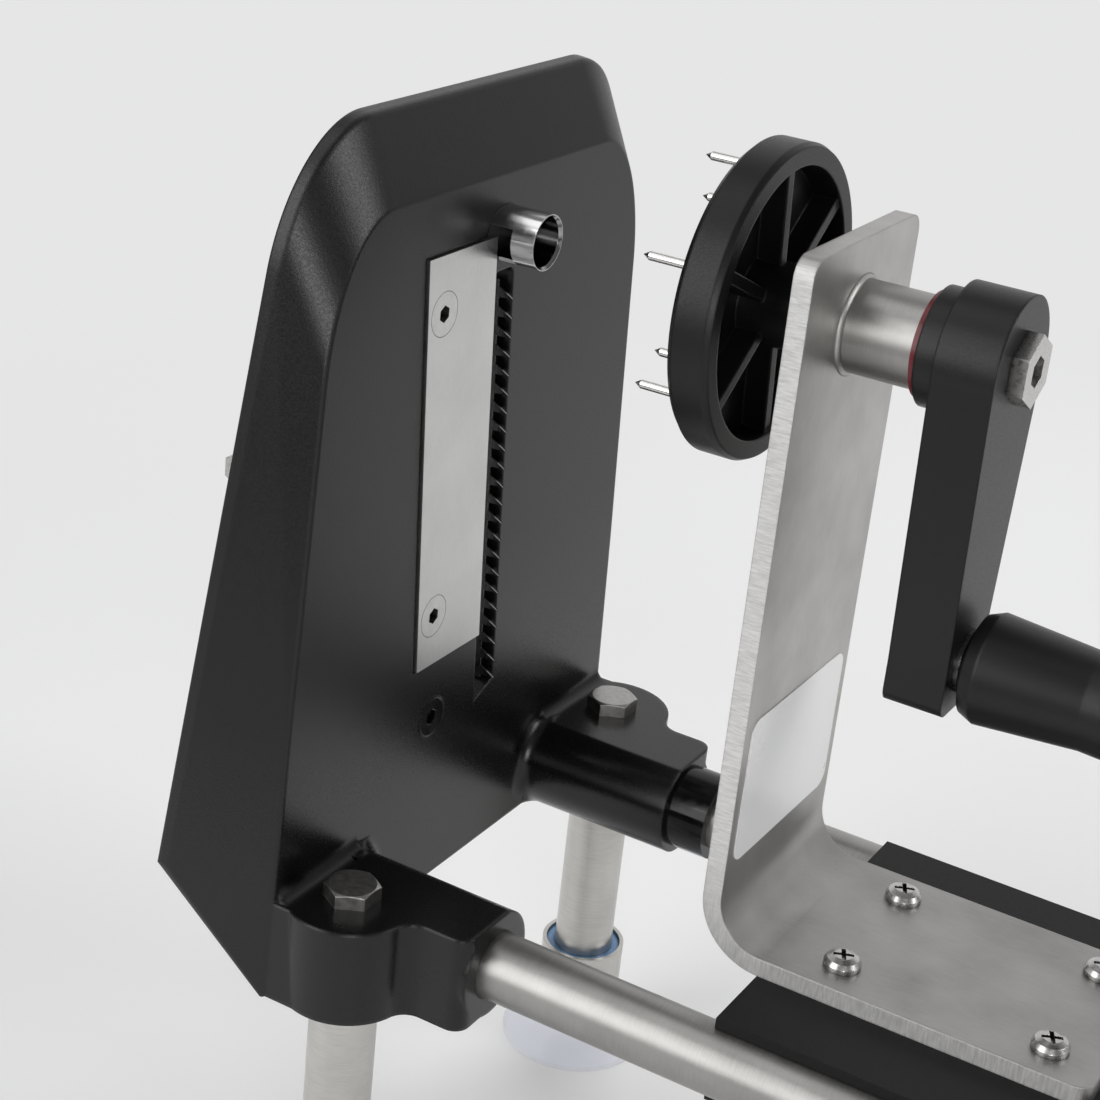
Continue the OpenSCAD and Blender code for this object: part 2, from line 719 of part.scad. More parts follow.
module coring_tube() color([0.8, 0.8, 0.8]) difference() {
    translate([0, 0, spindle_z]) rotate([0, 90, 0]) rotate_extrude() polygon([
        [corer_d / 2 - corer_wall, corer_x0], [corer_d / 2, corer_x0],
        [corer_d / 2, corer_x1], [corer_d / 2 - edge_land / 2, corer_x1],
        [corer_d / 2 - corer_wall, corer_x1 - corer_wall]]);
    // window that the end of the blade reaches into
    translate([blade_back - seat_gap, -corer_d, spindle_z - corer_d])
        cube([notch_deep + blade_seat, corer_d + edge_y(spindle_h - corer_d / 2) + seat_gap, corer_d + notch_up]);
}

module corer_nut() color([0.6, 0.6, 0.62]) translate([0, 0, spindle_z])
    nut_x_axis(boss_x - corer_nut_t, corer_nut_t, corer_d + corer_nut_wall * 2, corer_d / 2 + tube_fit);

// comb: a thin plate edge-on to the face, its front edge cut into teeth that point out and down
module comb_blade() color([0.78, 0.78, 0.8])
    translate([0, comb_y(0), rail_z]) rotate([blade_lean, 0, 0]) pull_y(comb_t) polygon(concat(
        [[comb_root, comb_high], [comb_x0, comb_high], [comb_x0, comb_low], [comb_root, comb_low]],
        [for (i = [0:tooth_count - 1]) for (k = [0:2]) [
            k == 1 ? comb_x1 : comb_root,
            tooth_low + i * tooth_pitch + (k == 0 ? -tooth_drop : k == 1 ? 0 : tooth_h - tooth_drop)]]));

// hexagon bolt along Y through the lug, its head on the near side
module side_bolt() color([0.6, 0.6, 0.62]) translate([side_bolt_x, 0, rail_z + lug_z]) {
    along_y(lug_y - over, lug_y + lug_w + side_nut_t + thread_out, side_bolt_d / 2);
    translate([0, lug_y - side_bolt_head, 0]) rotate([-90, 0, 0]) rotate([0, 0, 30])
        cylinder(r = side_bolt_af / sqrt(3), h = side_bolt_head, $fn = 6);
}

module side_nut() color([0.6, 0.6, 0.62]) translate([side_bolt_x, lug_y + lug_w, rail_z + lug_z])
    rotate([-90, 0, 0]) difference() {
        cylinder(r = side_bolt_af / sqrt(3), h = side_nut_t, $fn = 6);
        translate([0, 0, -over]) cylinder(r = side_bolt_d / 2 + tube_fit, h = side_nut_t + over * 2);
    }

module rail(side) color([0.72, 0.72, 0.73]) translate([0, side * rail_y, rail_z]) difference() {
    along_x(rail_x0, rail_x1, tube_r);
    along_x(rail_x0 - over, rail_x1 + over, tube_r - tube_wall);
}
module near_rail() rail(near);
module far_rail() rail(far);

module rail_plugs() color([0.05, 0.05, 0.05]) for (s = [near, far], x = [rail_x0, rail_x1 - plug_t])
    translate([0, s * rail_y, rail_z]) along_x(x, x + plug_t, tube_r - tube_wall - plug_play);

module rail_stop() color([0.02, 0.02, 0.02]) translate([0, far * rail_y, rail_z]) difference() {
    along_x(socket_len, stop_x1, stop_d / 2);
    along_x(socket_len - over, stop_x1 + over, tube_r + tube_fit);
}

module leg(x, side) color([0.72, 0.72, 0.73]) translate([x, side * leg_y, leg_low]) difference() {
    cylinder(r = tube_r, h = leg_high - leg_low);
    translate([0, 0, -over]) cylinder(r = tube_r - tube_wall, h = leg_high - leg_low + over * 2);
}
module leg_front_near() leg(0, near);
module leg_front_far() leg(0, far);
module leg_rear_near() leg(rear_x, near);
module leg_rear_far() leg(rear_x, far);

module leg_inserts() color([0.5, 0.5, 0.52]) for (x = [0, rear_x], s = [near, far])
    translate([x, s * leg_y, leg_high - insert_t]) difference() {
        cylinder(r = tube_r - tube_wall - plug_play, h = insert_t);
        translate([0, 0, -over]) cylinder(r = bolt_d / 2 + tube_fit, h = insert_t + over * 2);
    }

// hexagon bolt standing head up on z, with its head's corners turned away
module hex_bolt(z, reach) {
    translate([0, 0, z - reach]) cylinder(r = bolt_d / 2, h = reach);
    translate([0, 0, z]) intersection() {
        rotate([0, 0, bolt_turn]) cylinder(r = bolt_af / sqrt(3), h = bolt_head_h, $fn = 6);
        cylinder(r1 = bolt_af * head_foot_share, r2 = bolt_af * head_crown_share, h = bolt_head_h);
    }
}
module front_bolts() color([0.55, 0.55, 0.56]) for (s = [near, far])
    translate([0, s * leg_y, 0]) hex_bolt(bolt_seat, socket_roof + bolt_bite);
module rear_bolts() color([0.55, 0.55, 0.56]) for (s = [near, far])
    translate([rear_x, s * leg_y, 0]) hex_bolt(bolt_seat, socket_roof + bolt_bite);

module collar(x, side) color([0.72, 0.72, 0.73]) translate([x, side * leg_y, leg_low]) difference() {
    cylinder(r = collar_d / 2, h = collar_h);
    translate([0, 0, -over]) cylinder(r = collar_d / 2 - collar_wall, h = collar_h + over * 2);
}
module collar_front_near() collar(0, near);
module collar_front_far() collar(0, far);
module collar_rear_near() collar(rear_x, near);
module collar_rear_far() collar(rear_x, far);

module foot_sleeves() color([0.45, 0.62, 0.85]) for (x = [0, rear_x], s = [near, far])
    translate([x, s * leg_y, leg_low]) difference() {
        cylinder(r = collar_d / 2 - collar_wall - tube_fit, h = collar_h - sleeve_drop);
        translate([0, 0, -over]) cylinder(r = tube_r + tube_fit, h = collar_h + over * 2);
    }

module cup(x, side) color([0.8, 0.84, 0.95, 0.6]) translate([x, side * leg_y, 0]) rotate_extrude() polygon([
    [0, cup_h * cup_hollow_share], [cup_d / 2 * cup_shoulder_share, cup_h * cup_dome_share],
    [cup_d / 2 - cup_skin * 2, cup_lip], [cup_d / 2 - cup_lip, 0], [cup_d / 2, 0], [cup_d / 2, cup_lip],
    [cup_d / 2 - cup_skin, cup_h * cup_shoulder_share], [collar_d / 2 + cup_lip, cup_h * cup_neck_share],
    [collar_d / 2, cup_h * cup_neck_share + cup_lip], [collar_d / 2, cup_h], [0, cup_h]]);
module cup_front_near() cup(0, near);
module cup_front_far() cup(0, far);
module cup_rear_near() cup(rear_x, near);
module cup_rear_far() cup(rear_x, far);

// rear crosspiece: two sockets turned to face the head, joined by a bar
module rear_crosspiece() color([0.03, 0.03, 0.035]) translate([rear_x, 0, 0]) mirror([1, 0, 0]) difference() {
    union() {
        socket_body(near, -beam_t / 2);
        socket_body(far, -beam_t / 2);
        translate([-beam_t / 2, -rail_y, socket_floor]) cube([beam_t, rail_gauge, socket_top * 2]);
    }
    socket_bores(near);
    socket_bores(far);
}

// plate outline with its two upper corners rounded, from half width and heights
module plate_outline(z0, z1) {
    translate([-bracket_w / 2, z0]) square([bracket_w, z1 - z0 - bracket_corner]);
    translate([-bracket_w / 2 + bracket_corner, z0]) square([bracket_w - bracket_corner * 2, z1 - z0]);
    for (s = [near, far]) translate([s * (bracket_w / 2 - bracket_corner), z1 - bracket_corner])
        circle(r = bracket_corner);
}

module bracket() color([0.7, 0.7, 0.71]) difference() {
    union() {
        translate([bracket_front, 0, 0]) pull_x(bracket_t)
            plate_outline(foot_z + bracket_t + bend_r, rail_z + bracket_top);
        translate([0, -bracket_w / 2, 0]) pull_y(bracket_w) intersection() {
            translate([bracket_x + bend_r, foot_z + bracket_t + bend_r]) difference() {
                circle(r = bend_r + bracket_t);
                circle(r = bend_r);
            }
            translate([bracket_front, foot_z]) square(bend_r + bracket_t);
        }
        translate([0, 0, foot_z]) mirror([1, -1, 0]) linear_extrude(bracket_t)
            plate_outline(bracket_x + bend_r, foot_end);
    }
    for (x = carriage_xs, s = [near, far]) translate([x, s * glide_screw_y, foot_z - over])
        cylinder(r = pan_d / 2 + csk_play, h = bracket_t + over * 2);
    translate([0, 0, spindle_z]) along_x(bracket_front - over, bracket_x + over, bush_r + tube_fit);
}

module bearing_tube() color([0.74, 0.74, 0.75]) translate([0, 0, spindle_z]) difference() {
    along_x(bracket_x, sleeve_end, sleeve_d / 2);
    along_x(bracket_x - over, sleeve_end + over, bush_r + tube_fit);
}

module bearing_weld() color([0.5, 0.5, 0.5]) translate([bracket_x, 0, spindle_z]) rotate([0, 90, 0])
    rotate_extrude() polygon([[sleeve_d / 2, 0], [sleeve_d / 2 + weld_r, 0],
        [sleeve_d / 2 + weld_r * weld_share, weld_r * weld_share], [sleeve_d / 2, weld_r]]);

module bush_front() color([0.3, 0.3, 0.3]) translate([0, 0, spindle_z]) difference() {
    union() {
        along_x(bracket_front, bush_split - bush_gap, bush_r);
        along_x(bracket_front - bush_flange, bracket_front, bush_flange_r);
    }
    along_x(bracket_front - bush_flange - over, sleeve_end, spindle_d / 2 + spindle_fit);
}

module bush_rear() color([0.3, 0.3, 0.3]) translate([0, 0, spindle_z]) difference() {
    along_x(bush_split + bush_gap, sleeve_end, bush_r);
    along_x(bush_split - over, sleeve_end + over, spindle_d / 2 + spindle_fit);
}

module thrust_washer() color([0.25, 0.03, 0.05]) translate([0, 0, spindle_z]) difference() {
    along_x(sleeve_end, sleeve_end + washer_t, sleeve_d / 2 + washer_t);
    along_x(sleeve_end - over, sleeve_end + washer_t + over, spindle_d / 2 + spindle_fit);
}

module spindle() color([0.7, 0.7, 0.72]) translate([0, 0, spindle_z]) along_x(spindle_x0, arm_back, spindle_d / 2);

// what repeats at each place of a pin: six on the outer circle and three on the inner one
module at_pins() {
    for (i = [0:rib_count - 1]) rotate([0, 0, i * 360 / rib_count]) translate([pin_ring_outer, 0, 0]) children();
    for (i = [0:2:rib_count - 1]) rotate([0, 0, (i + 1) * 360 / rib_count])
        translate([pin_ring_inner, 0, 0]) children();
}

module pusher_disc() color([0.04, 0.04, 0.045]) translate([disc_x, 0, spindle_z]) rotate([0, 90, 0])
    rotate([0, 0, disc_turn]) difference() {
        union() {
            rotate_extrude() polygon([[0, 0], [disc_r - disc_round, 0], [disc_r, disc_round],
                [disc_r, disc_t - disc_round], [disc_r - disc_round / 2, disc_t],
                [disc_r - disc_rim, disc_t], [disc_r - disc_rim - rim_draft, disc_web],
                [disc_hub_r + rim_draft, disc_web], [disc_hub_r, hub_end - disc_x], [0, hub_end - disc_x]]);
            for (i = [0:rib_count - 1]) rotate([0, 0, i * 360 / rib_count]) translate([0, -disc_rib / 2, over])
                cube([disc_r - disc_rim / 2, disc_rib, rib_high - over]);
        }
        translate([0, 0, disc_web]) cylinder(r = spindle_d / 2 + tube_fit, h = hub_end - disc_x);
        at_pins() translate([0, 0, -over]) cylinder(r = pin_d / 2 + tube_fit, h = pin_sunk + over);
    }

module disc_pins() color([0.75, 0.75, 0.75]) translate([disc_x, 0, spindle_z]) rotate([0, 90, 0])
    rotate([0, 0, disc_turn]) at_pins() rotate_extrude() polygon([[0, -pin_len], [pin_d / 2, pin_point - pin_len],
        [pin_d / 2, pin_sunk], [0, pin_sunk]]);

// crank arm: hub, straight arm with rounded end, boss round the spindle
module crank_arm() color([0.03, 0.03, 0.035]) difference() {
    union() {
        translate([0, 0, spindle_z]) along_x(hub_x, arm_x + over, crank_hub_r);
        translate([arm_x, 0, 0]) pull_x(arm_t) {
            translate([0, spindle_z]) circle(r = crank_hub_r + arm_flare);
            polygon(both(concat([for (i = [0:edge_steps * 2]) let (a = 270 + 90 * i / edge_steps / 2)
                [arm_w / 2 + arm_corner * (cos(a) - 1), grip_z - arm_w / 2 + arm_corner * (sin(a) + 1)]],
                [[arm_w / 2, grip_z], [crank_hub_r + arm_flare - fillet_bite, spindle_z]])));
        }
    }
    translate([0, 0, spindle_z]) along_x(hub_x - over, arm_back + over, spindle_d / 2 + tube_fit);
    translate([0, 0, grip_z]) along_x(arm_x - over, arm_back + over, axle_d / 2 + tube_fit);
}

module crank_bolt() color([0.6, 0.6, 0.62]) translate([0, 0, spindle_z]) difference() {
    translate([arm_back, 0, 0]) rotate([0, 90, 0]) cylinder(r = cap_r, h = crank_bolt_t, $fn = 6);
    translate([arm_back + crank_bolt_t / 2, 0, 0]) rotate([0, 90, 0])
        cylinder(r = socket_af, h = crank_bolt_t, $fn = 6);
}

// grip axle: shoulder against the arm, plain shaft in the grip, head at the end
module grip_axle() color([0.6, 0.6, 0.62]) translate([0, 0, grip_z]) {
    along_x(arm_x, grip_end + axle_play, axle_d / 2);
    along_x(arm_back, arm_back + washer_t - axle_play, axle_head_r);
    translate([grip_end + axle_play, 0, 0]) along_x(0, axle_head_t, axle_head_r);
}

module crank_grip() color([0.03, 0.03, 0.035]) translate([grip_x, 0, grip_z]) rotate([0, 90, 0])
    rotate_extrude() polygon([
        [axle_d / 2 + spindle_fit, 0], [grip_d / 2 - grip_round, 0], [grip_d / 2 - grip_soft, grip_soft],
        [grip_d / 2, grip_round], [grip_d / 2 * grip_waist_share, grip_len / 3],
        [grip_d / 2, grip_len * grip_belly_share], [grip_d / 2, grip_len - grip_round],
        [grip_d / 2 - grip_soft, grip_len - grip_soft], [grip_d / 2 - grip_round, grip_len],
        [axle_d / 2 + spindle_fit, grip_len]]);

module glide_plate(z) translate([0, 0, z]) difference() {
    translate([glide_x, -glide_w / 2, 0]) cube([glide_len, glide_w, glide_t]);
    for (x = carriage_xs, s = [near, far]) translate([x, s * glide_screw_y, -over])
        cylinder(r = pan_d / 2 + csk_play, h = glide_t + over * 2);
}
module glide_upper() color([0.03, 0.03, 0.03]) glide_plate(glide_z);
module glide_lower() color([0.03, 0.03, 0.03]) glide_plate(glide_low_z - glide_t);

module guide_block() color([0.05, 0.05, 0.05]) difference() {
    translate([glide_x + block_in, -block_half, glide_low_z])
        cube([glide_len - block_in * 2, block_half * 2, glide_z - glide_low_z]);
    for (x = carriage_xs, s = [near, far]) translate([x, s * glide_screw_y, glide_low_z - over])
        cylinder(r = pan_d / 2 + csk_play, h = glide_z - glide_low_z + over * 2);
}

module carriage_screws() color([0.7, 0.7, 0.72]) for (x = carriage_xs, s = [near, far])
    translate([x, s * glide_screw_y, 0]) {
        translate([0, 0, glide_low_z - glide_t - pan_nut_t - over])
            cylinder(r = pan_d / 2, h = foot_z + bracket_t - glide_low_z + glide_t + pan_nut_t + over);
        translate([0, 0, foot_z + bracket_t]) difference() {
            rotate_extrude() polygon([[0, 0], [pan_head_d / 2, 0],
                [pan_head_d / 2, pan_head_h * pan_edge_share],
                [pan_head_d / 2 * pan_round_r_share, pan_head_h * pan_round_share],
                [pan_head_d / 2 * pan_crown_r_share, pan_head_h * pan_crown_share], [0, pan_head_h]]);
            for (a = [0, 90]) rotate([0, 0, a + recess_turn]) translate([-recess_l / 2, -recess_w / 2,
                pan_head_h - recess_deep]) cube([recess_l, recess_w, recess_deep + over]);
        }
    }

module carriage_nuts() color([0.6, 0.6, 0.62]) for (x = carriage_xs, s = [near, far])
    translate([x, s * glide_screw_y, glide_low_z - glide_t - pan_nut_t]) difference() {
        cylinder(r = pan_nut_af / sqrt(3), h = pan_nut_t, $fn = 6);
        translate([0, 0, -over]) cylinder(r = pan_d / 2 + tube_fit, h = pan_nut_t + over * 2);
    }

module push_label() color([0.95, 0.95, 0.95]) translate([bracket_x, 0, rail_z + label_z]) pull_x(label_t)
    translate([-label_w / 2, 0]) {
        translate([label_corner, 0]) square([label_w - label_corner * 2, label_h]);
        translate([0, label_corner]) square([label_w, label_h - label_corner * 2]);
        for (y = [label_corner, label_w - label_corner], z = [label_corner, label_h - label_corner])
            translate([y, z]) circle(r = label_corner);
    }

translate([-x_mid, 0, 0]) {
    head_shell();
    blade_plate();
    blade_screws();
    blade_nuts();
    lone_screw();
    coring_tube();
    corer_nut();
    comb_blade();
    side_bolt();
    side_nut();
    near_rail();
    far_rail();
    rail_plugs();
    rail_stop();
    leg_front_near();
    leg_front_far();
    leg_rear_near();
    leg_rear_far();
    leg_inserts();
    front_bolts();
    rear_bolts();
    collar_front_near();
    collar_front_far();
    collar_rear_near();
    collar_rear_far();
    foot_sleeves();
    cup_front_near();
    cup_front_far();
    cup_rear_near();
    cup_rear_far();
    rear_crosspiece();
    bracket();
    bearing_tube();
    bearing_weld();
    bush_front();
    bush_rear();
    thrust_washer();
    spindle();
    pusher_disc();
    disc_pins();
    crank_arm();
    crank_bolt();
    grip_axle();
    crank_grip();
    glide_upper();
    glide_lower();
    guide_block();
    carriage_screws();
    carriage_nuts();
    push_label();
}
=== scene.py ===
"""Looks of the spiralizer: materials, soft studio light and the camera of the photograph."""
import math

import bpy
from mathutils import Matrix, Vector


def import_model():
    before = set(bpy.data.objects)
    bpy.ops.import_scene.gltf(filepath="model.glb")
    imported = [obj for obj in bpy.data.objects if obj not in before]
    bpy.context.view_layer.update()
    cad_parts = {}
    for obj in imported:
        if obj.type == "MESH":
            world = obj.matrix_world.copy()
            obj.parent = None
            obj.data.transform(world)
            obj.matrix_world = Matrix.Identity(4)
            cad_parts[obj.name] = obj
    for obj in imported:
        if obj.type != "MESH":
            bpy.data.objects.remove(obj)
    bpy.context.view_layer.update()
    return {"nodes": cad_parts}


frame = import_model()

NODES = frame["nodes"]
MM = 0.001

# place, turn and lens of the camera, solved from the photograph
CAMERA_AT = Vector((96.87, -484.05, 437.63)) * MM
CAMERA_AZIMUTH = math.radians(28.43)
CAMERA_ELEVATION = math.radians(23.75)
CAMERA_ROLL = math.radians(6.09)
CAMERA_LENS = 74.81
SENSOR = 36.0
CLIP_START = 0.01

# heights in metres between which the lower look gives way to the upper one
SOCKET_TOP = (0.121, 0.135)
GLOSSY_BELOW = (0.125, 0.185)
# below these heights the bracket's foot gets painted shade
FOOT_TOP = (0.118, 0.15)

SPINDLE_AT = (0, 0, 0.2769)
BLADE_LEAN = math.radians(4.57)
ACROSS_LEAN = (0, math.cos(BLADE_LEAN), math.sin(BLADE_LEAN))
# near side of the comb at the rail axes' height, and how far that side is from the origin across the lean
COMB_SIDE, RAIL_HEIGHT = 0.01732, 0.104
COMB_AT = COMB_SIDE * math.cos(BLADE_LEAN) + RAIL_HEIGHT * math.sin(BLADE_LEAN)
# past the comb's near side across the lean, where the painted glint on the teeth is full and where it has faded
COMB_RIM = (0.00025, 0.0005)

# depths of bump in metres, and the number of rays that find rounded edges and hollows
GRAIN_DEPTH = 0.00008
STREAK_DEPTH = 0.00004
PLATE_DEPTH = 0.00006
MOTTLE_DEPTH = 0.00005
RAYS = 6

# scale of a streaked pattern along its streaks, the streaks' share in the metal's tone, and how much of its
# tone the bracket's foot keeps under painted shade
STREAK = 0.02
STREAK_SHARE = 0.6
FOOT_SHADE = 0.8


# ---------------------------------------------------------------- node helpers
class Nodes:
    """Short calls that build a node tree."""

    def __init__(self, tree, output):
        self.tree = tree
        tree.nodes.clear()
        self.out = self.add(output)

    def add(self, kind, inputs=None, **settings):
        """New node; an input is given a number or colour, or another node's output to link."""
        node = self.tree.nodes.new("ShaderNode" + kind)
        for key, value in settings.items():
            setattr(node, key, value)
        for key, value in (inputs or {}).items():
            if isinstance(value, bpy.types.NodeSocket):
                self.tree.links.new(value, node.inputs[key])
            else:
                node.inputs[key].default_value = value
        return node

    def show(self, shader):
        self.tree.links.new(shader, self.out.inputs["Surface"])

    def place(self, scale=(1, 1, 1)):
        """Object coordinates in millimetres, stretched by scale."""
        inputs = {"Vector": self.add("TexCoord").outputs["Object"], "Scale": [s / MM for s in scale]}
        return self.add("Mapping", inputs).outputs["Vector"]

    def geometry(self, of="Position"):
        return self.add("NewGeometry").outputs[of]

    def along(self, axis, of="Position"):
        """One coordinate of the shaded point, or of its True Normal."""
        return self.add("SeparateXYZ", {0: self.geometry(of)}).outputs[axis]

    def noise(self, vector, scale, detail=2.0, roughness=0.5):
        inputs = {"Vector": vector, "Scale": scale, "Detail": detail, "Roughness": roughness}
        return self.add("TexNoise", inputs).outputs["Fac"]

    def calc(self, operation, *values):
        return self.add("Math", dict(enumerate(values)), operation=operation).outputs[0]

    def vector(self, operation, *values):
        node = self.add("VectorMath", dict(enumerate(values)), operation=operation)
        return node.outputs["Value" if operation in ("DOT_PRODUCT", "LENGTH") else "Vector"]

    def spread(self, value, low, high, start=0.3, end=0.7):
        """Low up to start, high from end on, and even between; the usual start and end are a noise's."""
        inputs = {"Value": value, "From Min": start, "From Max": end, "To Min": low, "To Max": high}
        return self.add("MapRange", inputs).outputs["Result"]

    def varied(self, value, middle, below, above):
        """From middle less below to middle plus above, by a noise's value."""
        return self.spread(value, middle - below, middle + above)

    def ramp(self, value, *stops):
        """Colour by value; each stop is a position and a colour, in rising order."""
        node = self.add("ValToRGB", {"Fac": value})
        elements = node.color_ramp.elements
        for index, (position, colour) in enumerate(stops):
            element = elements[index] if index < len(elements) else elements.new(position)
            element.position = position
            element.color = (*colour, 1)
        return node.outputs["Color"]

    def grey(self, value):
        return self.add("CombineColor", {channel: value for channel in range(3)}).outputs[0]

    def blend(self, first, second, share):
        """First and second number, mixed by share."""
        return self.add("Mix", {0: share, 2: first, 3: second}, data_type="FLOAT").outputs[0]

    def mix(self, first, second, share, way="MIX"):
        """First and second colour, mixed by share."""
        inputs = {0: share, 6: first, 7: second}
        return self.add("Mix", inputs, data_type="RGBA", blend_type=way).outputs[2]

    def shaded(self, colour, share):
        """Colour times share, which runs from 0 to 1."""
        return self.mix(colour, self.grey(share), 1.0, "MULTIPLY")

    def cover(self, first, second, share):
        """First and second shader, mixed by share."""
        return self.add("MixShader", {0: share, 1: first, 2: second}).outputs[0]

    def background_rays(self, share):
        """1 for rays that see the background: the camera's, those through glass, and by share reflected ones."""
        path = self.add("LightPath").outputs
        rays = self.calc("MULTIPLY", path["Is Glossy Ray"], share)
        for kind in ("Is Transmission Ray", "Is Camera Ray"):
            rays = self.calc("MAXIMUM", path[kind], rays)
        return rays


class Shader(Nodes):
    """A material with one Principled surface; values that are the same all over are set on its sockets."""

    def __init__(self, name, values):
        self.material = bpy.data.materials.new(name)
        self.material.use_nodes = True
        super().__init__(self.material.node_tree, "OutputMaterial")
        self.surface = self.add("BsdfPrincipled", values)
        self.show(self.surface.outputs[0])

    def paint(self, socket, value):
        self.tree.links.new(value, self.surface.inputs[socket])

    def tint(self, value, dark, light, start=0.3, end=0.7, share=None):
        """Base colour from dark to light by value, times share if there is one."""
        colour = self.ramp(value, (start, dark), (end, light))
        self.paint("Base Color", self.shaded(colour, share) if share else colour)

    def hollow_shade(self, reach, low, start=0.4, end=0.85):
        """Painted shade: low in hollows that are narrower than reach, 1 in the open."""
        open_share = self.add("AmbientOcclusion", {"Distance": reach}, samples=RAYS).outputs["AO"]
        return self.spread(open_share, low, 1.0, start, end)

    def bore_shade(self, axis, low, start, end):
        """Painted shade: low on faces that look toward the line along X through axis, 1 on faces that look away
        from it.
        """
        off = self.vector("MULTIPLY", self.vector("SUBTRACT", self.geometry(), axis), (0, 1, 1))
        outward = self.vector("DOT_PRODUCT", off, self.geometry("True Normal"))
        return self.spread(outward, low, 1.0, start, end)

    def bump(self, value, strength, depth, edge=0.0, low_edge=None):
        """Bump by value, over edges rounded by edge metres, or by low_edge at the head's sockets."""
        inputs = {"Strength": strength, "Distance": depth, "Height": value}
        if edge:
            radius = self.spread(self.along("Z"), low_edge, edge, *SOCKET_TOP) if low_edge else edge
            inputs["Normal"] = self.add("Bevel", {"Radius": radius}, samples=RAYS).outputs["Normal"]
        self.paint("Normal", self.add("Bump", inputs).outputs["Normal"])


# ---------------------------------------------------------------- kinds of material
def moulded(name, dark, light, roughness, grain, edge, strength=0.35, gloss=0.5, low_edge=None, low_rough=1.0):
    """Black plastic with a fine spark-eroded grain; with low_edge, it is smoother and rounder low down."""
    s = Shader(name, {"Specular IOR Level": gloss, "IOR": 1.5})
    fine = s.noise(s.place(), grain, detail=3.0, roughness=0.6)
    s.tint(s.noise(s.place(), 0.02), dark, light)
    rough = s.varied(fine, roughness, below=0.05, above=0.07)
    if low_edge:
        rough = s.calc("MULTIPLY", rough, s.spread(s.along("Z"), low_rough, 1.0, *GLOSSY_BELOW))
    s.paint("Roughness", rough)
    s.bump(fine, strength, GRAIN_DEPTH, edge, low_edge)
    return s.material


def brushed(name, dark, light, roughness, axes, edge=0.0002, strength=0.25, bore_shade=None):
    """Metal with fine streaks that follow the named axis, or lie in the plane of the two named axes; with a bore
    given, the faces inside it are darkened with painted shade.
    """
    s = Shader(name, {"Metallic": 1.0})
    scale = [STREAK if axis in axes else 1.0 for axis in "xyz"]
    streaks = s.noise(s.place(scale), 9.0, detail=4.0, roughness=0.65)
    cloud = s.noise(s.place(), 0.05, detail=3.0)
    tone = s.calc("MULTIPLY_ADD", streaks, STREAK_SHARE, s.calc("MULTIPLY", cloud, 1 - STREAK_SHARE))
    # painted shade inside the bore, when one is given
    s.tint(tone, dark, light, start=0.35, end=0.65, share=s.bore_shade(*bore_shade) if bore_shade else None)
    s.paint("Roughness", s.varied(streaks, roughness, below=0.08, above=0.1))
    s.bump(streaks, strength, STREAK_DEPTH, edge)
    return s.material


def cut_plate(name, dark, light, cut_dark, cut_light, roughness):
    """Plate brushed along its strip; its cut edges, which face Y, are paler and lined across; its foot is
    darkened with painted shade.
    """
    s = Shader(name, {})
    cut = s.spread(s.calc("ABSOLUTE", s.along("Y", "True Normal")), 0.0, 1.0, start=0.7, end=0.9)
    flat = s.spread(s.along("Z", "True Normal"), 0.0, 1.0, start=0.5, end=0.8)
    low = s.spread(s.along("Z"), 1.0, 0.0, *FOOT_TOP)
    upright, foot = (s.noise(s.place(scale), 5.0, detail=5.0, roughness=0.7)
                     for scale in ((1.0, 1.0, 0.04), (0.04, 1.0, 1.0)))
    lines_up, lines_foot = (s.noise(s.place(scale), 1.9, detail=4.0, roughness=0.7)
                            for scale in ((0.12, 0.1, 1.0), (1.0, 0.1, 0.12)))
    streaks = s.blend(upright, foot, flat)
    lines = s.blend(lines_up, lines_foot, low)
    cloud = s.noise(s.place(), 0.06, detail=3.0)
    pattern = s.blend(s.blend(streaks, cloud, share=0.45), lines, cut)
    plate = s.ramp(pattern, (0.3, dark), (0.7, light))
    edge = s.ramp(pattern, (0.3, cut_dark), (0.7, cut_light))
    # painted shade: the foot and its cut edge are darker than the upright
    s.paint("Base Color", s.shaded(s.mix(plate, edge, cut), s.spread(low, 1.0, FOOT_SHADE, 0, 1)))
    s.paint("Roughness", s.blend(s.varied(streaks, roughness, below=0.06, above=0.1),
                                 s.spread(lines, 0.45, 0.6), cut))
    s.paint("Metallic", s.spread(cut, 1.0, 0.35, 0, 1))
    s.bump(pattern, 0.35, PLATE_DEPTH, edge=0.0007)
    return s.material


def plain(name, dark, light, roughness, metal=0.0, scale=0.3, edge=0.0002, strength=0.15, hollow_shade=None,
          gloss=0.5, alpha=1.0):
    """Plastic or metal with a soft mottle; painted shade darkens its hollows when a reach for them is given."""
    s = Shader(name, {"Metallic": metal, "Specular IOR Level": gloss, "Alpha": alpha})
    mottle = s.noise(s.place(), scale, detail=4.0)
    # painted shade in the hollows
    s.tint(mottle, dark, light, share=s.hollow_shade(*hollow_shade) if hollow_shade else None)
    s.paint("Roughness", s.varied(mottle, roughness, below=0.04, above=0.06))
    s.bump(s.noise(s.place(), 2.5, detail=3.0), strength, MOTTLE_DEPTH, edge)
    return s.material


